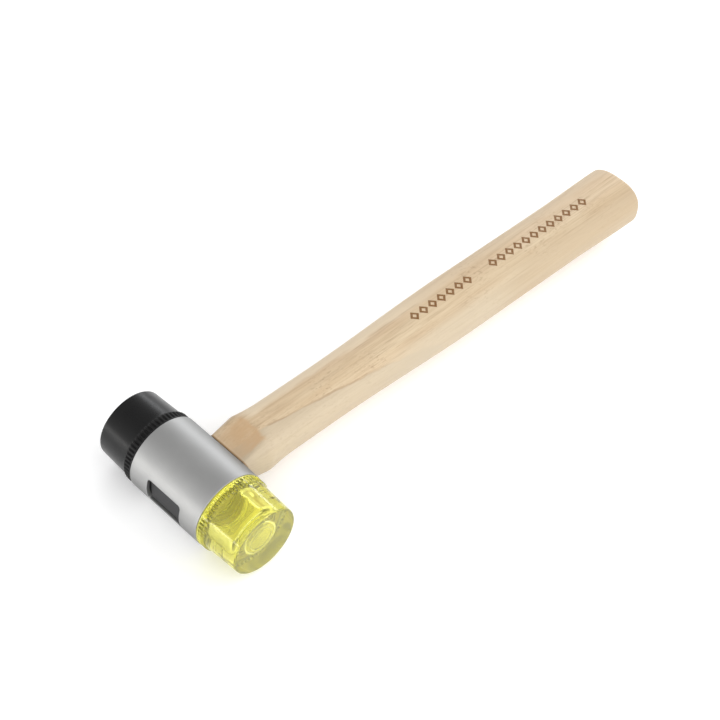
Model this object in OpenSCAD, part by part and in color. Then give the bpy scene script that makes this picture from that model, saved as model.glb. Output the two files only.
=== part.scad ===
// Two-faced dead blow mallet: a steel tube head on a hickory handle, with a rubber face
// and a clear plastic face that screw into sockets in its ends, and loose shot inside.
// The mallet lies on its side. X runs along the head towards the clear face, Y along the
// handle towards its butt, and Z up. The origin is under the middle of the mallet.

/* [Head sleeve] */
// Outer diameter of the steel sleeve
sleeve_d = 38; // [36:0.5:40]
// Length of the steel sleeve
sleeve_len = 43; // [42:0.5:46]
// Wall of the steel sleeve
sleeve_wall = 2; // [1.8:0.1:2.2]
// Length of the eye and of the slot in the head's top, along the head
eye_len = 21; // [19:0.5:22]
// Width of the eye and of the slot, across the head
eye_w = 12.4; // [11:0.2:13]
// Corner radius of the eye and of the slot
eye_corner = 1.6; // [1.2:0.1:2]

/* [Core and shot] */
// Length of the plastic core, and so of the two shot chambers
core_len = 27; // [26:0.5:28]
// Distance across the two flats of the core that the shot runs on
core_flats = 16; // [15.6:0.1:16.4]
// Diameter of one steel shot
shot_d = 4; // [3.6:0.1:4]
// Distance between neighbouring shot
shot_pitch = 4.2; // [4.15:0.05:4.2]
// Layers of shot along the head
shot_layers = 5; // [4:1:5]

/* [Faces] */
// How far a face stands out of the sleeve
face_reach = 22.8; // [21:0.2:25]
// Diameter of the collar next to the sleeve
collar_d = 37.6; // [36.6:0.2:38]
// Diameter of the barrel next to the collar
barrel_d = 35.8; // [35.2:0.2:36.4]
// Diameter of the striking end
tip_d = 34.4; // [33:0.2:35]
// Grip ribs round the collar
rib_count = 56; // [40:1:64]
// Diameter of the hollow in a face
hollow_d = 18; // [14:0.5:18.5]
// Plastic in front of the hollow
front_wall = 5.7; // [4:0.1:8]

/* [Thread] */
// Travel of a face in one turn
thread_pitch = 3; // [2.6:0.1:3.4]
// Mean diameter of the thread on a face
thread_d = 26.6; // [26:0.2:27]
// Depth of the rounded thread
thread_depth = 1.1; // [0.9:0.1:1.2]
// Radial clearance between the two threads
thread_gap = 0.35; // [0.3:0.05:0.4]

/* [Handle] */
// Distance from the head's axis to the butt
handle_reach = 287; // [260:1:320]
// Width of the shoulder that bears on the head
shoulder_w = 29.2; // [28:0.2:31]
// Width of the neck
neck_w = 26.8; // [24:0.2:28]
// Width of the grip
grip_w = 30.6; // [28:0.2:33]
// Width of the waist between the grip and the butt
waist_w = 30.6; // [28:0.2:32]
// Width of the butt
butt_w = 32.2; // [29:0.2:34]
// Thickness of the handle as a share of its width
flatness = 0.77; // [0.72:0.01:0.84]

/* [Hidden] */

$fn = 96;
// How far a cutter runs past the surface it cuts
over = 1;

// Head
sleeve_r = sleeve_d / 2;
bore_r = sleeve_r - sleeve_wall;
half_sleeve = sleeve_len / 2;
sleeve_edge = 0.3;
overall_len = handle_reach + sleeve_r;
head_y = sleeve_r - overall_len / 2;
head_z = sleeve_r;

// Tenon, plug and wedges
tenon_gap = 0.1;
tenon_end = 13.4;
plug_depth = 3.6;
plug_gap = 0.12;
wood_wedge_len = 16;
wood_wedge_t = 2.4;
wood_wedge_tip = 0.5;
steel_wedge_len = 9;
steel_wedge_t = 1.8;
steel_wedge_tip = 0.3;
steel_wedge_w = 8;
steel_wedge_x = 5.6;

// Sockets and washers, measured outwards from the middle of the head
socket_start = core_len / 2;
socket_floor = 1.5;
socket_mouth = half_sleeve - 1;
washer_t = 1.1;
washer_gap = 0.4;

// Faces, measured outwards from the middle of the head
face_back = socket_mouth + washer_t + 0.05;
face_tip = half_sleeve + face_reach;
stub_end = face_back - 6;
hollow_end = face_tip - front_wall;
hollow_draft = 0.3;
hollow_round = 2.2;
hollow_steps = 6;
recess_r = 6.2;
recess_depth = 0.7;
collar_r = collar_d / 2;
rim_edge = 0.3;
rib_start = half_sleeve + 0.7;
rib_end = half_sleeve + 5;
rib_root = collar_r - 0.8;
rib_lap = 0.15;
rib_set_back = 0.12;
rib_duty = 0.5;
step_len = 1.2;
face_edge = 0.8;
edge_share = 0.3;

// Thread
thread_sides = 40;
rings_per_turn = 16;

// Shot
shot_lift = 0.15;
shot_row_z = core_flats / 2 + shot_d / 2 + shot_lift;
shot_row_gap = shot_pitch * sin(60);

// Handle
section_power = 2.6;
section_sides = 44;
shoulder_at = 32;
neck_at = 48;
neck_end = 75;
grip_at = 165;
waist_at = 235;
root_at = 12;
root_w = 23;
butt_round = 5;
butt_flat = 0.1;
saddle_gap = 0.4;
ramp_start = 36;
ramp_angle = 13;
ramp_drop = 0.4;
ramp_top = shoulder_w / 2 * flatness - ramp_drop;
cutter_len = 60;
segment_rings = [3, 5, 4, 11, 7, 6];
butt_rings = 7;

handle_stations = [
    [root_at, root_w],
    [shoulder_at, shoulder_w],
    [neck_at, neck_w],
    [neck_end, neck_w],
    [grip_at, grip_w],
    [waist_at, waist_w],
    [handle_reach - butt_round, butt_w]
];

// Places children round the head's own axis, with the head's middle at their origin
module at_head() {
    translate([0, head_y, head_z]) children();
}

// Stands children that are drawn along Z on the clear (side = 1) or rubber (side = -1) end
module on_side(side) {
    at_head() rotate([0, side * 90, 0]) children();
}

// A round-cornered rectangle centred on the origin
module rounded_rect(len, width, r) {
    union() {
        square([len - 2 * r, width], center = true);
        square([len, width - 2 * r], center = true);
        for (sx = [-1, 1], sy = [-1, 1])
            translate([sx * (len / 2 - r), sy * (width / 2 - r)]) circle(r, $fn = 32);
    }
}

// A bar along Y with the eye's outline, from y0 to y1, drawn in by gap on each side
module eye_bar(y0, y1, gap) {
    translate([0, y1, 0]) rotate([90, 0, 0]) linear_extrude(y1 - y0)
        rounded_rect(eye_len - 2 * gap, eye_w - 2 * gap, eye_corner - gap);
}

// A wedge of the given width along X, driven from y0 towards +Y
module wedge(width, y0, length, thick, tip) {
    translate([-width / 2, 0, 0]) rotate([90, 0, 90]) linear_extrude(width)
        polygon([[y0, -thick / 2], [y0 + length, -tip / 2], [y0 + length, tip / 2], [y0, thick / 2]]);
}

// Radius of the knuckle thread of mean radius r at angle a and height z
function thread_r(r, a, z) =
    let (phase = a - 360 * z / thread_pitch, offset = thread_depth / 2)
        offset * cos(phase) + sqrt(r * r - pow(offset * sin(phase), 2));

// The rounded one-start thread: a wavy rod whose crest climbs once round in each pitch
module knuckle_thread(z0, z1, r) {
    steps = ceil((z1 - z0) / thread_pitch * rings_per_turn);
    skin([
        for (j = [0:steps])
            let (z = z0 + (z1 - z0) * j / steps)
                [
                    for (i = [0:thread_sides - 1])
                        let (a = -360 * i / thread_sides, p = thread_r(r, a, z))
                            [p * cos(a), p * sin(a), z]
                ]
    ]);
}

// Skins a list of equal rings into one closed solid
module skin(rings) {
    n = len(rings[0]);
    m = len(rings);
    points = [for (r = rings) each r];
    sides = [
        for (j = [0:m - 2], i = [0:n - 1])
            let (a = j * n + i, b = j * n + (i + 1) % n)
                each [[a, b, b + n], [a, b + n, a + n]]
    ];
    first_cap = [for (i = [n - 1:-1:0]) i];
    last_cap = [for (i = [0:n - 1]) (m - 1) * n + i];
    polyhedron(points, concat([first_cap], sides, [last_cap]), convexity = 4);
}

// ---- Handle ----

// Share of the change in width made at step t of segment i: straight up to the shoulder's
// corner, quick just past it, and smooth along the grip
function share(i, t) = i == 0 ? t : i == 1 ? t * (2 - t) : t * t * (3 - 2 * t);

function power_cos(a) = sign(cos(a)) * pow(abs(cos(a)), 2 / section_power);
function power_sin(a) = sign(sin(a)) * pow(abs(sin(a)), 2 / section_power);

// One ring of the handle: a flattened oval of width w at distance y
function ring(y, w) = [
    for (i = [0:section_sides - 1])
        let (a = 360 * (i + 0.5) / section_sides)
            [w / 2 * power_cos(a), y, w / 2 * flatness * power_sin(a)]
];

// Share of the butt's width left at step t of its rounded end, which stops at a flat
function butt_share(t) = butt_flat + (1 - butt_flat) * cos(90 * t);

shaft_rings = [
    for (i = [0:len(segment_rings) - 1], j = [0:segment_rings[i] - 1])
        let (a = handle_stations[i], b = handle_stations[i + 1], t = j / segment_rings[i])
            ring(a[0] + (b[0] - a[0]) * t, a[1] + (b[1] - a[1]) * share(i, t))
];
end_rings = [
    for (i = [0:butt_rings])
        let (t = i / butt_rings)
            ring(handle_reach - butt_round * (1 - sin(90 * t)), butt_w * butt_share(t))
];

// The ramp that thins the shoulder towards the head, above (side = 1) or below (side = -1)
module shoulder_ramp(side) {
    mirror([0, 0, side > 0 ? 0 : 1]) translate([0, ramp_start, ramp_top])
        rotate([ramp_angle, 0, 0]) translate([-cutter_len / 2, -cutter_len, 0]) cube(cutter_len);
}

module steel_wedge_pair() {
    for (s = [-1, 1])
        translate([s * steel_wedge_x, 0, 0]) rotate([0, 90, 0])
            wedge(steel_wedge_w, -tenon_end, steel_wedge_len, steel_wedge_t, steel_wedge_tip);
}

module wood_wedge_shape() {
    wedge(eye_len - 2 * tenon_gap, -tenon_end, wood_wedge_len, wood_wedge_t, wood_wedge_tip);
}

module handle() {
    color("#e1cdaf") at_head() difference() {
        union() {
            difference() {
                skin(concat(shaft_rings, end_rings));
                rotate([0, 90, 0]) cylinder(r = sleeve_r + saddle_gap, h = cutter_len, center = true);
                shoulder_ramp(1);
                shoulder_ramp(-1);
            }
            eye_bar(-tenon_end, shoulder_at, tenon_gap);
        }
        wood_wedge_shape();
        steel_wedge_pair();
    }
}

module handle_wedge() {
    color("#b98d5c") at_head() difference() {
        wood_wedge_shape();
        steel_wedge_pair();
    }
}

module steel_wedges() {
    color("#8c8f92") at_head() steel_wedge_pair();
}

// ---- Head ----

module head_sleeve() {
    color("#b9bbbc") difference() {
        on_side(1) rotate_extrude() polygon([
            [bore_r, -half_sleeve],
            [sleeve_r - sleeve_edge, -half_sleeve],
            [sleeve_r, sleeve_edge - half_sleeve],
            [sleeve_r, half_sleeve - sleeve_edge],
            [sleeve_r - sleeve_edge, half_sleeve],
            [bore_r, half_sleeve]
        ]);
        at_head() eye_bar(-sleeve_r - over, sleeve_r + over, 0);
    }
}

module core_block() {
    color("#2b2b2d") at_head() difference() {
        intersection() {
            rotate([0, 90, 0]) cylinder(r = bore_r, h = core_len, center = true);
            cube([core_len + 2 * over, sleeve_d, core_flats], center = true);
        }
        eye_bar(-sleeve_r - over, sleeve_r + over, 0);
    }
}

module eye_plug() {
    color("#444446") at_head() eye_bar(-tenon_end - plug_depth, -tenon_end, plug_gap);
}

module socket(side) {
    on_side(side) difference() {
        translate([0, 0, socket_start]) cylinder(r = bore_r, h = socket_mouth - socket_start);
        knuckle_thread(socket_start + socket_floor, socket_mouth + over, thread_d / 2 + thread_gap);
    }
}

module rubber_side_socket() {
    color("#d6d2c4") socket(-1);
}

module clear_side_socket() {
    color("#d6d2c4") socket(1);
}

// ---- Shot ----

// One shot at lateral place y and height z of a chamber, in layer i along the head
module shot_at(i, y, z) {
    translate([(i - (shot_layers - 1) / 2) * shot_pitch, y, z]) sphere(d = shot_d, $fn = 32);
}

// The shot of one chamber: two staggered rows in each layer
module shot_pack(up) {
    at_head() for (i = [0:shot_layers - 1]) {
        for (k = [-2.5:2.5]) shot_at(i, k * shot_pitch, up * shot_row_z);
        for (k = [-1:1]) shot_at(i, k * shot_pitch, up * (shot_row_z + shot_row_gap));
    }
}

module upper_shot() {
    color("#7f8386") shot_pack(1);
}

module lower_shot() {
    color("#7f8386") shot_pack(-1);
}

// ---- Faces ----

module washer(side) {
    inner_r = thread_d / 2 + thread_depth / 2 + washer_gap;
    on_side(side) translate([0, 0, socket_mouth]) difference() {
        cylinder(r = bore_r - washer_gap, h = washer_t);
        translate([0, 0, -over]) cylinder(r = inner_r, h = washer_t + 2 * over);
    }
}

module rubber_side_washer() {
    color("#cfc7a8") washer(-1);
}

module clear_side_washer() {
    color("#cfc7a8") washer(1);
}

// The outline of a face from its collar to its striking end
module face_outline() {
    polygon([
        [0, face_back],
        [collar_r - rim_edge, face_back],
        [collar_r, face_back + rim_edge],
        [collar_r, rib_start],
        [rib_root, rib_start],
        [rib_root, rib_end],
        [barrel_d / 2, rib_end + step_len],
        [tip_d / 2, face_tip - face_edge],
        [tip_d / 2 - face_edge * edge_share, face_tip - face_edge * edge_share],
        [tip_d / 2 - face_edge, face_tip],
        [0, face_tip]
    ]);
}

// The ring of grip ribs on the collar
module rib_ring() {
    rib_w = PI * collar_d / rib_count * rib_duty;
    inner_r = rib_root - over;
    translate([0, 0, rib_start - rib_lap]) linear_extrude(rib_end - rib_start + rib_lap)
        for (i = [0:rib_count - 1])
            rotate(i * 360 / rib_count) translate([inner_r, -rib_w / 2])
                square([collar_r - rib_set_back - inner_r, rib_w]);
}

// The blind hollow of a face: rounded at its end, with a shallow recess in its floor
module hollow_outline() {
    ledge = hollow_end - recess_depth;
    polygon([
        [0, stub_end - over],
        [hollow_d / 2 + hollow_draft, stub_end - over],
        for (i = [0:hollow_steps])
            let (a = i * 90 / hollow_steps)
            [hollow_d / 2 - hollow_round * (1 - cos(a)), ledge - hollow_round * (1 - sin(a))],
        [recess_r, ledge],
        [recess_r - recess_depth, hollow_end],
        [0, hollow_end]
    ]);
}

module strike_face(side) {
    on_side(side) difference() {
        union() {
            rotate_extrude() face_outline();
            rib_ring();
            knuckle_thread(stub_end, face_back + over, thread_d / 2);
        }
        rotate_extrude() hollow_outline();
    }
}

module rubber_face() {
    color("#252526") strike_face(-1);
}

module clear_face() {
    color([0.84, 0.8, 0.28, 0.6]) strike_face(1);
}

handle();
handle_wedge();
steel_wedges();
head_sleeve();
core_block();
eye_plug();
rubber_side_socket();
clear_side_socket();
upper_shot();
lower_shot();
rubber_side_washer();
clear_side_washer();
rubber_face();
clear_face();
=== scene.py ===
"""The looks of a two-faced dead blow mallet that lies on its side on a pale studio floor.

X runs along the head towards the clear face, Y along the handle towards its butt and Z up.
Lengths named in millimetres are turned into metres by MM.
"""
import math

import bmesh
import bpy
from mathutils import Matrix, Vector, geometry


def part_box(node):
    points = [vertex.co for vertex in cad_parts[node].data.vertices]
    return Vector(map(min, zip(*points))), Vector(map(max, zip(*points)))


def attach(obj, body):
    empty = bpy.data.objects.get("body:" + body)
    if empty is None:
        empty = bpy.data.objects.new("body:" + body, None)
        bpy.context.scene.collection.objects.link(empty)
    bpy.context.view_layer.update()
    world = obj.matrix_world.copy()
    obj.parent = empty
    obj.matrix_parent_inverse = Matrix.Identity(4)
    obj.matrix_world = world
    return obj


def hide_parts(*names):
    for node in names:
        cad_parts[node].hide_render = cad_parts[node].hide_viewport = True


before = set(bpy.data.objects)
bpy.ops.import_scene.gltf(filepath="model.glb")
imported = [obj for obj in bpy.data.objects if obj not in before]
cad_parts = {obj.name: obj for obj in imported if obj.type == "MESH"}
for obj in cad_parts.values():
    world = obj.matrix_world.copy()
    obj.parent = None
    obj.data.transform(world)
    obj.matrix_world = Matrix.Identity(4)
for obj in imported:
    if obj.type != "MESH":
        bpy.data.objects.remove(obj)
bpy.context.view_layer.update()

MM = 0.001
TAU = 2 * math.pi

# ---- Sizes ----

sleeve_low, sleeve_high = (Vector(c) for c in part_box("head_sleeve"))
handle_high = Vector(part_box("handle")[1])
plug_low, plug_high = (Vector(c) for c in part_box("eye_plug"))
face_low, face_high = (Vector(c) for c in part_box("clear_face"))
socket_low, socket_high = (Vector(c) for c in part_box("clear_side_socket"))

HEAD = (sleeve_low + sleeve_high) / 2
SLEEVE_R = (sleeve_high.z - sleeve_low.z) / 2
SLEEVE_HALF = (sleeve_high.x - sleeve_low.x) / 2
BORE_R = (socket_high.z - socket_low.z) / 2
EYE_LEN, EYE_WIDTH, EYE_CORNER = 21 * MM, 12.4 * MM, 1.6 * MM

FACE_TIP = face_high.x
STUB_END = face_low.x
COLLAR_R = (face_high.z - face_low.z) / 2
FACE_BACK = SLEEVE_HALF + 0.15 * MM
RIB_START = SLEEVE_HALF + 0.7 * MM
RIB_END = SLEEVE_HALF + 5 * MM
RIB_DEPTH = 0.8 * MM
RIB_COUNT = 56
STEP_END = RIB_END + 1.2 * MM
BARREL_R = 17.9 * MM
TIP_R = 17.2 * MM
TIP_EDGE = 0.8 * MM
HOLLOW_R = 9 * MM
HOLLOW_MOUTH_R = 9.3 * MM
HOLLOW_END = FACE_TIP - 5.7 * MM
HOLLOW_ROUND = 2.2 * MM
RECESS_R = 6.2 * MM
RECESS_DEPTH = 0.7 * MM
THREAD_R = 13.3 * MM
THREAD_OFFSET = 0.55 * MM
THREAD_PITCH = 3 * MM

HANDLE_END = handle_high.y - HEAD.y
FLATNESS = 0.77
SECTION_POWER = 2.6
SADDLE_R = SLEEVE_R + 0.4 * MM
SHOULDER_WIDTH = 29.2
# Distance from the head's axis and width there, both in millimetres
HANDLE_STATIONS = (
    (12, 23), (32, SHOULDER_WIDTH), (48, 26.8), (75, 26.8), (165, 30.6), (235, 30.6),
    (282, 32.2),
)
RAMP_START = 36 * MM
RAMP_TOP = (SHOULDER_WIDTH / 2 * FLATNESS - 0.4) * MM
RAMP_SLOPE = math.tan(math.radians(13))
RAMP_ROUND = 0.5 * MM
SHAFT_START = 24 * MM
BUTT_ROUND = 5 * MM
BUTT_FLAT = 0.1

SLEEVE_SEGMENTS = 168
HANDLE_SEGMENTS = 112


# ---- Mesh helpers ----

def add_piece(name, points, faces, body, material, slot, *nodes):
    """A smooth-shaded mesh that rides on body, stands for the CAD nodes and wears material."""
    mesh = bpy.data.meshes.new(name)
    mesh.from_pydata(points, [], faces)
    tidy_mesh(mesh)
    piece = bpy.data.objects.new(name, mesh)
    bpy.context.scene.collection.objects.link(piece)
    mesh.materials.append(material)
    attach(piece, body)
    if nodes:
        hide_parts(*nodes)
    return piece


def tidy_mesh(mesh, weld=1e-6, sharp_angle=40):
    """Welds doubled points, turns the faces outwards and shades them smooth up to an angle."""
    bm = bmesh.new()
    bm.from_mesh(mesh)
    bmesh.ops.remove_doubles(bm, verts=bm.verts, dist=weld)
    bmesh.ops.recalc_face_normals(bm, faces=bm.faces)
    bm.to_mesh(mesh)
    bm.free()
    mesh.shade_smooth()
    mesh.set_sharp_from_angle(angle=math.radians(sharp_angle))


def ring_faces(rings, count, closed_ends=True):
    """Quads between neighbouring rings of count points each, with a cap at both ends."""
    faces = [
        (j * count + i, j * count + (i + 1) % count,
         (j + 1) * count + (i + 1) % count, (j + 1) * count + i)
        for j in range(rings - 1) for i in range(count)
    ]
    if closed_ends:
        faces.append(tuple(reversed(range(count))))
        faces.append(tuple((rings - 1) * count + i for i in range(count)))
    return faces


def smooth(t):
    """Eases t from 0 to 1."""
    t = max(0.0, min(1.0, t))
    return t * t * (3 - 2 * t)


def mix(a, b, t):
    return a + (b - a) * t


def arc(centre, radius, start, end, steps):
    """Points of a circular arc in the (distance, radius) plane, angles in degrees."""
    angles = (math.radians(mix(start, end, i / steps)) for i in range(steps + 1))
    return [(centre[0] + radius * math.cos(a), centre[1] + radius * math.sin(a)) for a in angles]


def line(a, b, steps):
    """Evenly spaced points from a to b, without b itself."""
    return [(mix(a[0], b[0], i / steps), mix(a[1], b[1], i / steps)) for i in range(steps)]


# ---- Shader helpers ----

def new_material(name):
    """A material with its node tree, its Principled shader and its output."""
    material = bpy.data.materials.new(name)
    material.use_nodes = True
    tree = material.node_tree
    return material, tree, tree.nodes["Principled BSDF"], tree.nodes["Material Output"]


def add_node(tree, kind, inputs=(), **settings):
    """A shader node with its settings and inputs; an input that is a socket is linked."""
    n = tree.nodes.new("ShaderNode" + kind)
    for key, value in settings.items():
        setattr(n, key, value)
    for key, value in dict(inputs).items():
        if isinstance(value, bpy.types.NodeSocket):
            tree.links.new(value, n.inputs[key])
        else:
            n.inputs[key].default_value = value
    return n


def math_node(tree, operation, a, b=0.0):
    return add_node(tree, "Math", {0: a, 1: b}, operation=operation).outputs[0]


def times(tree, first, *rest):
    """The product of two or more sockets or numbers."""
    product = first
    for factor in rest:
        product = math_node(tree, "MULTIPLY", product, factor)
    return product


def plus(tree, a, b):
    return math_node(tree, "ADD", a, b)


def minus(tree, a, b):
    return math_node(tree, "SUBTRACT", a, b)


def inverse(tree, mask):
    """1 where the mask is 0, and 0 where it is 1."""
    return minus(tree, 1.0, mask)


def ramp(tree, factor, *stops):
    """A colour ramp; each stop is (position, (r, g, b)) or (position, grey)."""
    n = add_node(tree, "ValToRGB", {"Fac": factor})
    elements = n.color_ramp.elements
    while len(elements) < len(stops):
        elements.new(0.5)
    for element, (position, colour) in zip(elements, stops):
        grey = isinstance(colour, (int, float))
        element.position = position
        element.color = (colour, colour, colour, 1) if grey else (*colour, 1)
    return n.outputs["Color"]


def mix_colour(tree, factor, a, b):
    """Colour a where factor is 0 and colour b where it is 1."""
    n = add_node(tree, "Mix", data_type="RGBA")
    for socket, value in ((n.inputs[0], factor), (n.inputs[6], a), (n.inputs[7], b)):
        if isinstance(value, bpy.types.NodeSocket):
            tree.links.new(value, socket)
        else:
            socket.default_value = value if isinstance(value, (int, float)) else (*value, 1)
    return n.outputs[2]


def place(tree, scale=(1, 1, 1), offset=(0, 0, 0)):
    """Object coordinates in metres, moved and scaled."""
    inputs = {"Vector": add_node(tree, "TexCoord").outputs["Object"], "Scale": scale,
              "Location": offset}
    return add_node(tree, "Mapping", inputs).outputs[0]


def speckle(tree, vector, scale, detail=2.0, roughness=0.5):
    """A noise pattern from 0 to 1; scale is in spots to the metre."""
    inputs = {"Vector": vector, "Scale": scale, "Detail": detail, "Roughness": roughness}
    return add_node(tree, "TexNoise", inputs).outputs["Fac"]


def bump(tree, height, distance, strength=1.0):
    inputs = {"Height": height, "Distance": distance, "Strength": strength}
    return add_node(tree, "Bump", inputs).outputs["Normal"]


def band(tree, value, start, end):
    """0 on the start's side of the span from start to end, 1 on the end's, easing between."""
    return add_node(
        tree, "MapRange", {"Value": value, "From Min": start, "From Max": end},
        interpolation_type="SMOOTHSTEP", clamp=True).outputs["Result"]


def between(tree, value, low, high):
    """1 where value lies between low and high, and 0 elsewhere."""
    edge = 0.05 * MM
    return times(tree, band(tree, value, low - edge, low), band(tree, value, high + edge, high))


def from_head(tree):
    """The X, Y and Z sockets of the place seen from the middle of the head."""
    split = add_node(tree, "SeparateXYZ", {0: place(tree, offset=-HEAD)})
    return [split.outputs[axis] for axis in "XYZ"]


# ---- Wood ----

HICKORY_TONES = ((0.69, 0.565, 0.385), (0.565, 0.41, 0.245), (0.635, 0.465, 0.315))
HICKORY_BROWN = (0.33, 0.21, 0.115)
WORN_TAN = (0.53, 0.34, 0.18)
# Painted shade: a darker cream tone for the handle's brightly lit right side
SIDE_PAINTED_SHADE = (0.505, 0.42, 0.30)
# Painted shade: a darker amber tone for the right side near the butt
BUTT_SIDE_PAINTED_SHADE = (0.455, 0.35, 0.225)
SAPWOOD = (0.72, 0.60, 0.43)
# Burnt brown for the lozenges, also used for the painted shadow at the joint with the sleeve
BURNT_AND_SHADOW_BROWN = (0.185, 0.075, 0.01)
WEDGE_TONES = ((0.45, 0.30, 0.16), (0.36, 0.22, 0.11), (0.42, 0.26, 0.15))
WEDGE_BROWN = (0.20, 0.11, 0.05)


def grain(tree, stretch, scale, detail, roughness=0.5, offset=(0, 0, 0)):
    """A noise pattern along Y; the smaller the stretch, the longer its marks."""
    return speckle(tree, place(tree, (1, stretch, 1), offset), scale, detail, roughness)


def tint(tree, base, tone, pattern, start, end, strength):
    """Lays a tone over base by up to strength, as the pattern rises from start to end."""
    return mix_colour(tree, ramp(tree, pattern, (start, 0.0), (end, strength)), base, tone)


def wood_tones(tree, tones, brown, streaks, pores):
    """The colour of hickory: changes of tone, faint growth rings, streaks, pores and flecks."""
    pale, tan, pink = tones
    drift = grain(tree, stretch=0.09, scale=62, detail=3, roughness=0.6)
    blush = grain(tree, stretch=0.06, scale=45, detail=2, offset=(0.3, 0, 0.1))
    blotch = grain(tree, stretch=0.28, scale=34, detail=4, roughness=0.6, offset=(0.07, 0, 0))
    flecks = grain(tree, stretch=0.035, scale=620, detail=3, roughness=0.7, offset=(0.2, 0.1, 0))
    dots = grain(tree, stretch=0.35, scale=1100, detail=3, roughness=0.7, offset=(0.1, 0.2, 0))

    base = tint(tree, pale, tan, drift, start=0.36, end=0.62, strength=1.0)
    base = tint(tree, base, pink, blush, start=0.5, end=0.68, strength=0.55)
    base = tint(tree, base, tan, blotch, start=0.46, end=0.66, strength=0.75)
    base = tint(tree, base, brown, growth_rings(tree), start=0.15, end=0.8, strength=0.27)
    base = tint(tree, base, brown, streaks, start=0.46, end=0.72, strength=0.42)
    base = mix_colour(tree, pores, base, brown)
    base = tint(tree, base, brown, flecks, start=0.58, end=0.70, strength=0.42)
    clusters = ramp(tree, speckle(tree, place(tree), 38, 2), (0.46, 0.0), (0.62, 0.9))
    dots = times(tree, ramp(tree, dots, (0.54, 0.0), (0.66, 0.6)), clusters)
    return mix_colour(tree, dots, base, brown)


def wood_material(name, tones, brown, lacquer):
    """Hickory with fine streaks and short pores along Y, which the gloss and relief follow."""
    material, tree, shader, _ = new_material(name)
    streaks = grain(tree, stretch=0.016, scale=1500, detail=4, roughness=0.65)
    pores = ramp(tree, grain(tree, stretch=0.05, scale=2700, detail=2), (0.63, 0.0), (0.74, 0.3))
    base = wood_tones(tree, tones, brown, streaks, pores)
    tree.links.new(base, shader.inputs["Base Color"])
    gloss = ramp(tree, streaks, (0.3, lacquer), (0.8, lacquer + 0.16))
    tree.links.new(gloss, shader.inputs["Roughness"])
    height = plus(tree, streaks, times(tree, pores, -0.8))
    tree.links.new(bump(tree, height, 0.05 * MM), shader.inputs["Normal"])
    return material, tree, shader, base


def growth_rings(tree):
    """Wandering growth rings round a line that runs beside the handle, from 0 to 1."""
    rings_per_metre = 420
    wander = grain(tree, stretch=0.12, scale=60, detail=2)
    position = add_node(tree, "SeparateXYZ", {0: place(tree, offset=(12 * MM, 0, 30 * MM))})
    x, z = position.outputs["X"], position.outputs["Z"]
    reach = math_node(tree, "SQRT", plus(tree, times(tree, x, x), times(tree, z, z)))
    warped = plus(tree, reach, times(tree, wander, 12 * MM))
    rings = math_node(tree, "FRACT", times(tree, warped, rings_per_metre))
    late_wood = ramp(tree, rings, (0.0, 0.0), (0.55, 0.12), (0.86, 0.85), (1.0, 0.0))
    return times(tree, late_wood, grain(tree, stretch=0.05, scale=130, detail=3))


def handle_material():
    """The handle's wood: worn shoulder, a pale left side and painted shade on the right, a crease,
    burnt marks and a painted shadow along the joint.
    """
    material, tree, shader, base = wood_material(
        "hickory", HICKORY_TONES, HICKORY_BROWN, lacquer=0.4)
    x, y, z = from_head(tree)
    top = band(tree, z, 4 * MM, 7 * MM)
    jitter = grain(tree, stretch=0.5, scale=260, detail=4, roughness=0.6)
    shift = times(tree, minus(tree, jitter, 0.5), 4 * MM)
    crease_x = plus(tree, times(tree, y, 0.11), -0.4 * MM)
    past_crease = plus(tree, minus(tree, x, crease_x), times(tree, shift, 0.45))

    base = right_and_left(tree, base, x, y, past_crease)
    worn = worn_shoulder(tree, x, y, shift, jitter)
    base = mix_colour(tree, times(tree, worn, top, 0.8), base, WORN_TAN)
    line_mask = crease_line(tree, y, past_crease)
    base = mix_colour(tree, times(tree, line_mask, top, 0.55), base, HICKORY_BROWN)
    base = mix_colour(tree, burnt_lozenges(tree, x, y, z), base, BURNT_AND_SHADOW_BROWN)
    # Painted shadow along the joint with the sleeve, in the burnt brown
    base = mix_colour(tree, joint_painted_shadow(tree, y, z), base, BURNT_AND_SHADOW_BROWN)
    tree.links.new(base, shader.inputs["Base Color"])
    return material


def right_and_left(tree, base, x, y, past_crease):
    """Painted shade in cream past the crease and on the right, in amber there near the butt, and
    sapwood on the left.
    """
    # Painted shade: the part past the crease is darkened with the cream tone
    right = times(tree, band(tree, past_crease, -0.3 * MM, 0.5 * MM), 0.7)
    base = mix_colour(tree, right, base, SIDE_PAINTED_SHADE)

    drift = minus(tree, grain(tree, stretch=0.4, scale=60, detail=3, roughness=0.6), 0.5)
    strayed = plus(tree, x, times(tree, drift, 14 * MM))
    fade = ramp(tree, band(tree, y, 170 * MM, 120 * MM), (0.0, 0.35), (1.0, 1.0))
    left = times(tree, band(tree, strayed, -3.5 * MM, -6.5 * MM), fade,
                 band(tree, y, 31 * MM, 40 * MM))
    base = mix_colour(tree, times(tree, left, 0.7), base, SAPWOOD)

    # Painted shade: the grip's right side is darkened, in amber towards the butt
    near_butt = band(tree, y, 165 * MM, 205 * MM)
    butt_side = times(tree, band(tree, x, 3 * MM, 14 * MM), near_butt)
    side = math_node(tree, "MAXIMUM", band(tree, x, 7 * MM, 14 * MM), butt_side)
    side = times(tree, side, band(tree, y, 80 * MM, 130 * MM))
    side_shade_tone = mix_colour(tree, near_butt, SIDE_PAINTED_SHADE, BUTT_SIDE_PAINTED_SHADE)
    return mix_colour(tree, times(tree, side, 0.75), base, side_shade_tone)


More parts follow.
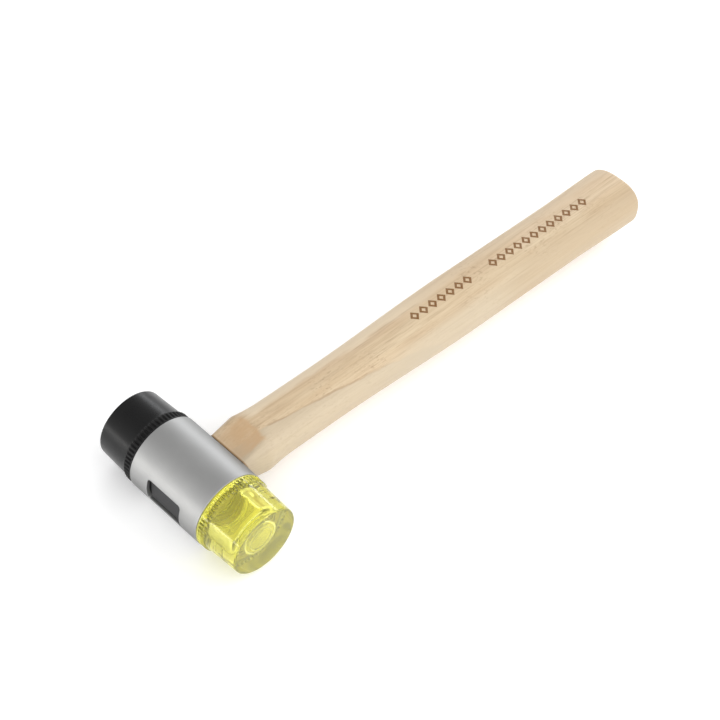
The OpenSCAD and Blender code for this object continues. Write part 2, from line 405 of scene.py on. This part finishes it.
def worn_shoulder(tree, x, y, shift, jitter):
    """Where the shoulder's ramp is worn to bare wood, with a ragged edge, from 0 to 1."""
    ragged_x = plus(tree, x, shift)
    ragged_y = plus(tree, y, times(tree, shift, 0.9))
    worn = times(tree, inverse(tree, band(tree, ragged_y, 32.5 * MM, 34.5 * MM)),
                 inverse(tree, band(tree, ragged_x, 7.2 * MM, 9.5 * MM)),
                 band(tree, ragged_x, -9.2 * MM, -6.2 * MM))
    mottled = ramp(tree, jitter, (0.25, 0.55), (0.5, 1.0))
    off_head = inverse(tree, band(tree, y, 28 * MM, 19 * MM))
    return times(tree, worn, mottled, ramp(tree, off_head, (0.0, 0.55), (1.0, 1.0)))


def crease_line(tree, y, past_crease):
    """The broken dark line that the crease draws out from the shoulder, from 0 to 1."""
    distance = math_node(tree, "ABSOLUTE", past_crease)
    near = inverse(tree, band(tree, distance, 0.2 * MM, 0.7 * MM))
    gaps = grain(tree, stretch=0.2, scale=120, detail=3, offset=(0.5, 0, 0))
    along = times(tree, band(tree, y, 36 * MM, 40 * MM),
                  inverse(tree, band(tree, y, 70 * MM, 125 * MM)))
    return times(tree, near, band(tree, gaps, 0.22, 0.40), along)


def joint_painted_shadow(tree, y, z):
    """A painted shadow: the dark line where the wood meets the sleeve, from the distance to the
    head's axis.
    """
    reach = math_node(tree, "SQRT", plus(tree, times(tree, y, y), times(tree, z, z)))
    near = band(tree, reach, SADDLE_R + 1.0 * MM, SADDLE_R + 0.35 * MM)
    return times(tree, near, 0.72)


def burnt_lozenges(tree, x, y, z):
    """Two rows of plain open lozenges burnt into the grip's top."""
    pitch, half_width, slimness = 6 * MM, 3 * MM, 2.2
    cell = math_node(tree, "FRACT", math_node(tree, "DIVIDE", y, pitch))
    along = math_node(tree, "ABSOLUTE", minus(tree, cell, 0.5))
    across = math_node(tree, "ABSOLUTE", x)
    size = plus(tree, times(tree, along, slimness), math_node(tree, "DIVIDE", across, half_width))
    outline = times(tree, band(tree, size, 1.04, 0.94), band(tree, size, 0.37, 0.47))
    rows = plus(tree, between(tree, y, 22 * pitch, 29 * pitch),
                between(tree, y, 31 * pitch, 43 * pitch))
    char = ramp(tree, speckle(tree, place(tree), 900, 3), (0.3, 0.85), (0.6, 1.0))
    return times(tree, outline, rows, band(tree, z, 6 * MM, 7 * MM), char)


# ---- Metal, rubber and plastic ----

def steel_material(name, colour, roughness, brush_scale, anisotropic):
    """Satin steel with fine turned lines round the X axis and faint cloudy handling marks."""
    material, tree, shader, _ = new_material(name)
    shader.inputs["Metallic"].default_value = 1.0
    shader.inputs["Anisotropic"].default_value = anisotropic
    shader.inputs["Specular Tint"].default_value = (0.3, 0.3, 0.3, 1)
    lines = speckle(tree, place(tree, (1, 0.02, 0.02)), brush_scale, 3, 0.6)
    clouds = speckle(tree, place(tree), 90, 3, 0.55)
    dark = tuple(c * 0.86 for c in colour)
    tree.links.new(mix_colour(tree, clouds, dark, colour), shader.inputs["Base Color"])
    rough = plus(tree, times(tree, lines, 0.10), roughness - 0.05)
    rough = plus(tree, rough, times(tree, clouds, 0.06))
    tree.links.new(rough, shader.inputs["Roughness"])
    tree.links.new(bump(tree, lines, 0.008 * MM), shader.inputs["Normal"])
    tangent = add_node(tree, "Tangent", direction_type="RADIAL", axis="X")
    tree.links.new(tangent.outputs[0], shader.inputs["Tangent"])
    return material


def moulded_material(name, colour, roughness, grain_scale, depth, specular=0.5, matte_ribs=0.0):
    """Moulded rubber or plastic: a fine even grain with slightly uneven colour and gloss."""
    material, tree, shader, _ = new_material(name)
    shader.inputs["Specular IOR Level"].default_value = specular
    clouds = speckle(tree, place(tree), 140, 3, 0.6)
    light = tuple(c * 1.35 + 0.002 for c in colour)
    tree.links.new(mix_colour(tree, clouds, colour, light), shader.inputs["Base Color"])
    fine = speckle(tree, place(tree), grain_scale, 3, 0.6)
    rough = plus(tree, times(tree, fine, 0.12), roughness - 0.06)
    rough = plus(tree, rough, times(tree, clouds, 0.08))
    if matte_ribs:
        from_middle = math_node(tree, "ABSOLUTE", from_head(tree)[0])
        ribs = band(tree, from_middle, RIB_END + 0.7 * MM, RIB_END)
        rough = plus(tree, rough, times(tree, ribs, matte_ribs))
    tree.links.new(rough, shader.inputs["Roughness"])
    tree.links.new(bump(tree, fine, depth), shader.inputs["Normal"])
    return material


def clear_material(name):
    """Clear yellow plastic, faintly milky: light turns yellow on its way through."""
    material, tree, shader, output = new_material(name)
    haze = speckle(tree, place(tree), 70, 2)
    tree.links.new(mix_colour(tree, haze, (0.90, 0.87, 0.22), (0.95, 0.93, 0.38)),
                   shader.inputs["Base Color"])
    shader.inputs["Transmission Weight"].default_value = 0.90
    shader.inputs["IOR"].default_value = 1.47
    scuffs = speckle(tree, place(tree), 420, 4, 0.65)
    tree.links.new(ramp(tree, scuffs, (0.45, 0.02), (0.8, 0.09)), shader.inputs["Roughness"])
    flow = speckle(tree, place(tree), 110, 2, 0.6)
    tree.links.new(bump(tree, flow, 0.2 * MM, strength=0.6), shader.inputs["Normal"])
    absorption = add_node(
        tree, "VolumeAbsorption", {"Color": (0.945, 0.937, 0.12, 1), "Density": 24.0})
    tree.links.new(absorption.outputs[0], output.inputs["Volume"])
    return material


hickory = handle_material()
wedge_wood = wood_material("wedge_wood", WEDGE_TONES, WEDGE_BROWN, lacquer=0.6)[0]
sleeve_steel = steel_material("sleeve_steel", (0.47, 0.47, 0.465), 0.42, 9000, 0.4)
raw_steel = steel_material("raw_steel", (0.42, 0.42, 0.43), 0.42, 6000, 0.0)
shot_steel = steel_material("shot_steel", (0.55, 0.56, 0.58), 0.22, 3000, 0.0)
black_rubber = moulded_material(
    "black_rubber", (0.002, 0.002, 0.0021), 0.25, 2600, 0.012 * MM, 0.3, matte_ribs=0.22)
black_plastic = moulded_material(
    "black_plastic", (0.015, 0.015, 0.016), 0.48, 3200, 0.03 * MM, 0.4)
pale_nylon = moulded_material("pale_nylon", (0.66, 0.63, 0.54), 0.45, 3200, 0.03 * MM)
fibre = moulded_material("fibre", (0.62, 0.57, 0.39), 0.8, 1500, 0.08 * MM, 0.3)
clear_yellow = clear_material("clear_yellow")


# ---- Faces ----

def rib_height(angle):
    """Height of the grip ribs at an angle, from 0 in a gap to 1 on a rib."""
    gap_end, flank = 0.3, 0.4
    wave = 0.5 + 0.5 * math.cos(RIB_COUNT * angle)
    return smooth((wave - gap_end) / flank)


def thread_radius(distance, angle):
    """Radius of the rounded thread: an off-centre circle that turns as it rises."""
    phase = angle - TAU * distance / THREAD_PITCH
    across = THREAD_OFFSET * math.sin(phase)
    return THREAD_OFFSET * math.cos(phase) + math.sqrt(THREAD_R ** 2 - across ** 2)


def hollow_profile():
    """The blind hollow from its floor's middle out to the open end of the stub."""
    ledge = HOLLOW_END - RECESS_DEPTH
    lip = RECESS_R - RECESS_DEPTH
    points = line((HOLLOW_END, 0), (HOLLOW_END, lip), 4)
    points += arc((ledge, lip), RECESS_DEPTH, 0, 90, 6)[1:]
    points += arc((ledge - HOLLOW_ROUND, HOLLOW_R - HOLLOW_ROUND), HOLLOW_ROUND, 0, 90, 12)
    mouth = (STUB_END + 0.4 * MM, HOLLOW_MOUTH_R)
    points += line((ledge - HOLLOW_ROUND, HOLLOW_R), mouth, 8)[1:]
    return points


def outer_profile():
    """The outside from the collar's back to the middle of the striking end."""
    rim = 0.3 * MM
    root = COLLAR_R - RIB_DEPTH
    points = arc((FACE_BACK + rim, COLLAR_R - rim), rim, 180, 90, 4)
    points += line((FACE_BACK + rim, COLLAR_R), (RIB_START, COLLAR_R), 3)[1:]
    points += [(RIB_START, COLLAR_R), (RIB_START + 0.12 * MM, COLLAR_R - 0.04 * MM)]
    points += line((RIB_START + 0.3 * MM, root), (RIB_END, root), 6)
    points += [(RIB_END, root)]
    step_points = 8
    for i in range(1, step_points + 1):
        t = i / step_points
        points.append((mix(RIB_END, STEP_END, t), mix(root, BARREL_R, smooth(t))))
    edge_start = (FACE_TIP - TIP_EDGE, TIP_R)
    points += line((STEP_END, BARREL_R), edge_start, 10)[1:]
    points += arc((FACE_TIP - TIP_EDGE, TIP_R - TIP_EDGE), TIP_EDGE, 90, 0, 7)
    points += line((FACE_TIP, TIP_R - TIP_EDGE), (FACE_TIP, 0), 6)[1:]
    return points


def face_profile():
    """The whole closed outline of a face, with a flag that says where it is threaded."""
    rows = [(s, r, False) for s, r in hollow_profile()]
    rows.append((STUB_END, HOLLOW_MOUTH_R + 0.4 * MM, False))
    rows.append((STUB_END, THREAD_R - 1.0 * MM, False))
    thread_steps = 44
    for i in range(thread_steps + 1):
        rows.append((mix(STUB_END + 0.25 * MM, FACE_BACK, i / thread_steps), THREAD_R, True))
    rows.append((FACE_BACK, THREAD_R + 1.0 * MM, False))
    rows += [(s, r, False) for s, r in outer_profile()]
    return rows


def stand(side, distance, radius, angle):
    """A point of the head at a distance outwards from its middle, on either side."""
    across = radius * math.cos(angle)
    return (HEAD.x + side * distance, HEAD.y + radius * math.sin(angle), HEAD.z - side * across)


def face_radius(distance, radius, threaded, angle):
    """Radius of a face's surface at an angle, with its ribs and its thread."""
    if threaded:
        lead_in_length = 1.2 * MM
        lead_in = smooth((distance - STUB_END) / lead_in_length)
        return mix(THREAD_R - THREAD_OFFSET, thread_radius(distance, angle), lead_in)
    inside_ribs = RIB_START < distance <= RIB_END and radius > BARREL_R
    if inside_ribs:
        run_out, end_share = 0.5 * MM, 0.2
        fade = smooth((RIB_END - distance) / run_out + end_share)
        crest = COLLAR_R - 0.06 * MM
        return max(radius, mix(radius, crest, rib_height(angle) * fade))
    return radius


def build_face(name, side, material, slot):
    """A striking face as one closed lathe form with ribs and a thread cut into it."""
    segments = RIB_COUNT * 8
    rows = face_profile()
    points = [stand(side, rows[0][0], 0, 0)]
    for distance, radius, threaded in rows[1:-1]:
        for i in range(segments):
            angle = TAU * i / segments
            reach = face_radius(distance, radius, threaded, angle)
            points.append(stand(side, distance, reach, angle))
    points.append(stand(side, rows[-1][0], 0, 0))
    last = len(points) - 1
    rings = len(rows) - 2
    faces = [tuple(1 + v for v in f) for f in ring_faces(rings, segments, False)]
    faces += [(0, 1 + (i + 1) % segments, 1 + i) for i in range(segments)]
    tail = 1 + (rings - 1) * segments
    faces += [(last, tail + i, tail + (i + 1) % segments) for i in range(segments)]
    return add_piece(name, points, faces, slot[0], material, slot[1], slot[0])


build_face("clear_striking_face", 1, clear_yellow, ("clear_face", "clear_plastic"))
build_face("rubber_striking_face", -1, black_rubber, ("rubber_face", "black_rubber"))


# ---- Sleeve ----

def slot_outline(grow, corner_steps=7, side_steps=10):
    """The eye's outline in the X-Z plane, grown outwards, as (x, z) points in order."""
    half_x, half_z = EYE_LEN / 2 - EYE_CORNER, EYE_WIDTH / 2 - EYE_CORNER
    radius = max(EYE_CORNER + grow, 0.2 * MM)
    points = []
    for sx, sz, start in ((1, 1, 0), (-1, 1, 90), (-1, -1, 180), (1, -1, 270)):
        centre = (sx * half_x, sz * half_z)
        points += arc(centre, radius, start, start + 90, corner_steps)
    dense = []
    for a, b in zip(points, points[1:] + points[:1]):
        steps = side_steps if math.dist(a, b) > 2 * EYE_CORNER else 1
        dense += line(a, b, steps)
    return dense


def unroll(x, z, radius, back):
    """A point of the eye's outline on the unrolled tube, on the handle side if back."""
    angle = math.asin(z / radius)
    return Vector((x, (math.pi - angle if back else angle) * radius))


def roll(x, arc_length, radius):
    """The point of the tube for one on its unrolled surface; 0 faces away from the handle."""
    angle = arc_length / radius
    return (HEAD.x + x, HEAD.y - radius * math.cos(angle), HEAD.z + radius * math.sin(angle))


def wall_grid(radius, half_length, rows=26):
    """Points spread over the unrolled wall of a tube, clear of its two eye openings."""
    start = -0.5 * math.pi * radius
    end = start + TAU * radius
    margin = 1.1 * MM
    clear_x, clear_z = EYE_LEN / 2 + margin, EYE_WIDTH / 2 + margin
    points = []
    for j in range(rows + 1):
        x = mix(-half_length, half_length, j / rows)
        for i in range(SLEEVE_SEGMENTS + 1):
            arc_length = mix(start, end, i / SLEEVE_SEGMENTS)
            z = radius * math.sin(arc_length / radius)
            has_opening = abs(math.cos(arc_length / radius)) > 0.5
            if not (has_opening and abs(x) < clear_x and abs(z) < clear_z):
                points.append(Vector((x, arc_length)))
    return points


def tube_wall(radius, half_length, grow):
    """Points and triangles of a tube wall of one radius with the two eye openings cut out."""
    points, loops = [], []
    for back in (False, True):
        outline = [unroll(x, z, radius, back) for x, z in slot_outline(grow)]
        loops.append([len(points) + i for i in range(len(outline))])
        points += outline
    points += wall_grid(radius, half_length)
    edges = [(loop[i - 1], loop[i]) for loop in loops for i in range(len(loop))]
    flat, _, triangles, *_ = geometry.delaunay_2d_cdt(points, edges, [], 0, 1e-9)
    middles = (Vector((0, 0)), Vector((0, math.pi * radius)))
    half = (EYE_LEN / 2 + grow, radius * math.asin((EYE_WIDTH / 2 + grow) / radius))
    kept = []
    for tri in triangles:
        centre = sum((flat[v] for v in tri), Vector((0, 0))) / 3
        if not any(in_opening(centre - middle, half) for middle in middles):
            kept.append(tri)
    return [roll(p.x, p.y, radius) for p in flat], kept


def in_opening(p, half):
    """True if a point of the unrolled wall lies in an opening of the given half sizes."""
    dx, dy = abs(p.x) - (half[0] - EYE_CORNER), abs(p.y) - (half[1] - EYE_CORNER)
    if abs(p.x) >= half[0] or abs(p.y) >= half[1]:
        return False
    return dx <= 0 or dy <= 0 or math.hypot(dx, dy) < EYE_CORNER


def opening_walls(edge, back):
    """Rings of points down an opening's rounded edge and straight wall to the bore."""
    sign = 1 if back else -1
    edge_steps = 5
    rings = []
    for k in range(edge_steps + 1):
        turn = math.radians(90 * k / edge_steps)
        grow, depth = edge * (1 - math.sin(turn)), edge * (1 - math.cos(turn))
        rings.append([
            (HEAD.x + x, HEAD.y + sign * (math.sqrt(SLEEVE_R ** 2 - z ** 2) - depth), HEAD.z + z)
            for x, z in slot_outline(grow)
        ])
    rings.append([
        (HEAD.x + x, HEAD.y + sign * math.sqrt(BORE_R ** 2 - z ** 2), HEAD.z + z)
        for x, z in slot_outline(0)
    ])
    return rings


def build_sleeve():
    """The steel tube with rounded ends and softly broken edges round its two openings."""
    edge, end_round = 0.3 * MM, 0.25 * MM
    outer_half = SLEEVE_HALF - end_round
    points, faces = tube_wall(SLEEVE_R, outer_half, edge)
    inner_points, inner_faces = tube_wall(BORE_R, SLEEVE_HALF, 0)
    faces += [tuple(len(points) + v for v in f) for f in inner_faces]
    points += inner_points
    for back in (False, True):
        rings = opening_walls(edge, back)
        base = len(points)
        faces += [tuple(base + v for v in f) for f in ring_faces(len(rings), len(rings[0]), False)]
        points += [p for ring in rings for p in ring]
    for side in (-1, 1):
        profile = arc((outer_half, SLEEVE_R - end_round), end_round, 90, 0, 6)
        profile.append((SLEEVE_HALF, BORE_R))
        base = len(points)
        for distance, radius in profile:
            for i in range(SLEEVE_SEGMENTS):
                points.append(stand(side, distance, radius, TAU * i / SLEEVE_SEGMENTS))
        end_faces = ring_faces(len(profile), SLEEVE_SEGMENTS, False)
        faces += [tuple(base + v for v in f) for f in end_faces]
    return add_piece("steel_sleeve", points, faces, "head", sleeve_steel, "sleeve_steel",
                     "head_sleeve")


build_sleeve()


# ---- Plug in the head's top ----

def build_plug():
    """The plastic plug seen in the slot: a flat pad inside a narrow dark moat."""
    gap, edge = 0.12 * MM, 0.3 * MM
    moat, moat_depth = 0.9 * MM, 1.9 * MM
    top, bottom = plug_low.y, plug_high.y
    levels = [(gap, bottom), (gap, top + moat_depth), (moat, top + moat_depth)]
    edge_steps = 4
    for k in range(edge_steps + 1):
        turn = math.radians(90 * k / edge_steps)
        levels.append((moat + edge * (1 - math.cos(turn)), top + edge * (1 - math.sin(turn))))
    rings = [
        [(HEAD.x + x, y, HEAD.z + z) for x, z in slot_outline(-inset)] for inset, y in levels
    ]
    pad = rings[-1]
    pad_rings = 6
    for k in range(1, pad_rings + 1):
        share = 1 - k / (pad_rings + 1)
        rings.append([(mix(HEAD.x, px, share), py, mix(HEAD.z, pz, share)) for px, py, pz in pad])
    points = [p for ring in rings for p in ring]
    faces = ring_faces(len(rings), len(rings[0]))
    add_piece("slot_plug", points, faces, "head", black_plastic, "black_plastic", "eye_plug")


build_plug()


# ---- Handle ----

def width_share(segment, t):
    """How far the width has gone to its next station: the shoulder's corner stays crisp."""
    if segment == 0:
        return t
    if segment == 1:
        return t * (2 - t)
    return smooth(t)


def width_at(y):
    """Width of the handle at distance y from the head's axis."""
    y = y / MM
    spans = zip(HANDLE_STATIONS, HANDLE_STATIONS[1:])
    for segment, ((y0, w0), (y1, w1)) in enumerate(spans):
        if y <= y1:
            return mix(w0, w1, width_share(segment, (y - y0) / (y1 - y0))) * MM
    return HANDLE_STATIONS[-1][1] * MM


def oval_point(angle, width):
    """A point of the handle's flattened oval section."""
    power = 2 / SECTION_POWER
    c, s = math.cos(angle), math.sin(angle)
    x = math.copysign(abs(c) ** power, c) * width / 2
    z = math.copysign(abs(s) ** power, s) * width / 2 * FLATNESS
    return x, z


def ramp_limit(y):
    """Half thickness that the shoulder's ramp leaves at distance y."""
    return RAMP_TOP - (RAMP_START - y) * RAMP_SLOPE


def soft_limit(value, limit, blend):
    """Holds the size of value under limit with a rounded corner."""
    size = abs(value)
    gap = max(0.0, blend - abs(size - limit))
    held = min(size, limit) - gap * gap / (4 * blend)
    return math.copysign(held, value)


def tenon_point(angle):
    """A point on the tenon's rounded rectangle in the direction of angle."""
    half_x, half_z = EYE_LEN / 2 - 0.1 * MM, EYE_WIDTH / 2 - 0.1 * MM
    c, s = math.cos(angle), math.sin(angle)
    power = 9
    scale = (abs(c / half_x) ** power + abs(s / half_z) ** power) ** (-1 / power)
    return c * scale, s * scale


def handle_ring(y, angles):
    """One ring of the shaft, thinned by the ramp near the shoulder."""
    width = width_at(y)
    ring = []
    for angle in angles:
        x, z = oval_point(angle, width)
        if y < RAMP_START + 2 * MM:
            z = soft_limit(z, ramp_limit(y), RAMP_ROUND)
        ring.append((x, y, z))
    return ring


def saddle_y(z):
    return math.sqrt(SADDLE_R ** 2 - z ** 2)


def shoulder_rings(angles):
    """Rings from the tenon over the saddle and its soft edge to the straight shaft."""
    settling_rings = 6
    tenon_end = plug_high.y - HEAD.y
    tenon = [tenon_point(a) for a in angles]
    rings = [[(x, tenon_end, z) for x, z in tenon], [(x, saddle_y(z), z) for x, z in tenon]]
    rim = handle_ring(SADDLE_R, angles)
    for share, lift in ((0.5, 0.0), (0.955, 0.02), (0.985, 0.12), (1.0, 0.4)):
        ring = []
        for (tx, tz), (x, _, z) in zip(tenon, rim):
            px, pz = mix(tx, x, share), mix(tz, z, share)
            ring.append((px, saddle_y(pz) + lift * MM, pz))
        rings.append(ring)
    edge = rings[-1]
    for k in range(1, settling_rings + 1):
        share = k / settling_rings
        rings.append([
            shaft_point(mix(y, SHAFT_START, share), angle)
            for (_, y, _), angle in zip(edge, angles)
        ])
    return rings


def shaft_point(y, angle):
    """The shaft's surface point at distance y in the direction of angle."""
    x, z = oval_point(angle, width_at(y))
    return x, y, soft_limit(z, ramp_limit(y), RAMP_ROUND)


def build_handle():
    """The hickory handle from its tenon to its rounded butt."""
    shaft_rings, round_rings, flat_rings = 150, 14, 5
    angles = [TAU * (i + 0.5) / HANDLE_SEGMENTS for i in range(HANDLE_SEGMENTS)]
    rings = shoulder_rings(angles)
    butt_start = HANDLE_END - BUTT_ROUND
    for i in range(1, shaft_rings + 1):
        rings.append(handle_ring(mix(SHAFT_START, butt_start, i / shaft_rings), angles))
    for i in range(1, round_rings + 1):
        t = i / round_rings
        share = mix(BUTT_FLAT, 1, math.cos(t * math.pi / 2))
        y = HANDLE_END - BUTT_ROUND * (1 - math.sin(t * math.pi / 2))
        width = width_at(butt_start) * share
        rings.append([(x, y, z) for x, z in (oval_point(a, width) for a in angles)])
    flat = rings[-1]
    for i in range(1, flat_rings + 1):
        share = 1 - i / (flat_rings + 1)
        rings.append([(x * share, y, z * share) for x, y, z in flat])
    points = [(HEAD.x + x, HEAD.y + y, HEAD.z + z) for ring in rings for x, y, z in ring]
    faces = ring_faces(len(rings), HANDLE_SEGMENTS)
    return add_piece("hickory_handle", points, faces, "head", hickory, "wood", "handle")


build_handle()


# ---- CAD nodes that stay ----

def dress(node, material):
    """Gives a CAD node its material."""
    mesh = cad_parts[node].data
    mesh.materials.clear()
    mesh.materials.append(material)


NODE_MATERIALS = {
    "handle_wedge": wedge_wood,
    "steel_wedges": raw_steel,
    "core_block": black_plastic,
    "rubber_side_socket": pale_nylon,
    "clear_side_socket": pale_nylon,
    "upper_shot": shot_steel,
    "lower_shot": shot_steel,
    "rubber_side_washer": fibre,
    "clear_side_washer": fibre,
}
for node_name, node_material in NODE_MATERIALS.items():
    dress(node_name, node_material)


# ---- Studio ----

# Azimuth, elevation and roll in degrees, then the way from the head back, right and up in metres
CAMERA_ANGLES = (41.163, 47.111, 5.760)
CAMERA_SHIFT = (0.8, 0.07118, 0.05232)
CAMERA_LENS = 92.327


def add_floor():
    """A pale floor that reaches past the view on all sides."""
    half = 3.0
    mesh = bpy.data.meshes.new("floor")
    mesh.from_pydata([(-half, -half, 0), (half, -half, 0), (half, half, 0), (-half, half, 0)],
                     [], [(0, 1, 2, 3)])
    floor = bpy.data.objects.new("floor", mesh)
    bpy.context.scene.collection.objects.link(floor)
    material, tree, shader, _ = new_material("floor")
    shader.inputs["Base Color"].default_value = (0.9, 0.9, 0.9, 1)
    shader.inputs["Roughness"].default_value = 0.3
    shader.inputs["Specular IOR Level"].default_value = 0.5
    shader.inputs["Emission Color"].default_value = (1, 1, 1, 1)
    shader.inputs["Emission Strength"].default_value = 0.23
    mesh.materials.append(material)


def add_world():
    """White surroundings: brightest on the +X side, pale low down and greyer overhead."""
    world = bpy.data.worlds.new("studio")
    bpy.context.scene.world = world
    world.use_nodes = True
    tree = world.node_tree
    background = tree.nodes["Background"]
    generated = add_node(tree, "TexCoord").outputs["Generated"]
    direction = add_node(tree, "SeparateXYZ", {0: generated})
    x, y, z = (direction.outputs[axis] for axis in "XYZ")
    near_floor, key = (0.98, 0.98, 0.98), (1.75, 1.75, 1.75)
    along_handle = math_node(tree, "ABSOLUTE", y)
    overhead = ramp(tree, along_handle, (0.0, 0.52), (0.45, 0.60), (0.75, 0.95), (1.0, 1.0))
    low = band(tree, times(tree, z, -1.0), -0.45, -0.05)
    glow = mix_colour(tree, low, overhead, near_floor)
    glow = mix_colour(tree, band(tree, x, -0.15, 0.45), glow, key)
    tree.links.new(glow, background.inputs["Color"])
    background.inputs["Strength"].default_value = 1.0


def add_softbox(name, direction, distance, size, power, colour):
    """A rectangular soft light that faces the head from a direction."""
    data = bpy.data.lights.new(name, "AREA")
    data.color = colour
    data.shape = "RECTANGLE"
    data.size, data.size_y = size
    data.energy = power
    lamp = bpy.data.objects.new(name, data)
    bpy.context.scene.collection.objects.link(lamp)
    away = Vector(direction).normalized()
    lamp.location = HEAD + away * distance
    lamp.rotation_euler = away.to_track_quat("Z", "Y").to_euler()


def add_camera():
    """A long lens that looks down over the clear face and along the handle."""
    azimuth, elevation, roll_angle = (math.radians(a) for a in CAMERA_ANGLES)
    back = Vector((math.sin(azimuth) * math.cos(elevation),
                   -math.cos(azimuth) * math.cos(elevation), math.sin(elevation)))
    level = Vector((math.cos(azimuth), math.sin(azimuth), 0))
    upright = back.cross(level)
    right = level * math.cos(roll_angle) + upright * math.sin(roll_angle)
    up = upright * math.cos(roll_angle) - level * math.sin(roll_angle)
    data = bpy.data.cameras.new("camera")
    data.lens = CAMERA_LENS
    data.sensor_width = 36
    data.clip_end = 20
    camera = bpy.data.objects.new("camera", data)
    bpy.context.scene.collection.objects.link(camera)
    away, aside, above = CAMERA_SHIFT
    camera.location = HEAD + back * away + right * aside + up * above
    camera.rotation_euler = Matrix((right, up, back)).transposed().to_euler()
    bpy.context.scene.camera = camera


add_floor()
add_world()
add_softbox("front_box", direction=(-0.47, -0.88, 0.05), distance=1.4, size=(1.2, 0.13),
            power=2.3, colour=(1, 0.99, 0.96))
add_softbox("back_box", direction=(-0.47, 0.84, 0.32), distance=1.6, size=(1.2, 0.24),
            power=3.8, colour=(0.95, 0.97, 1))
add_camera()
bpy.context.scene.view_settings.view_transform = "Standard"
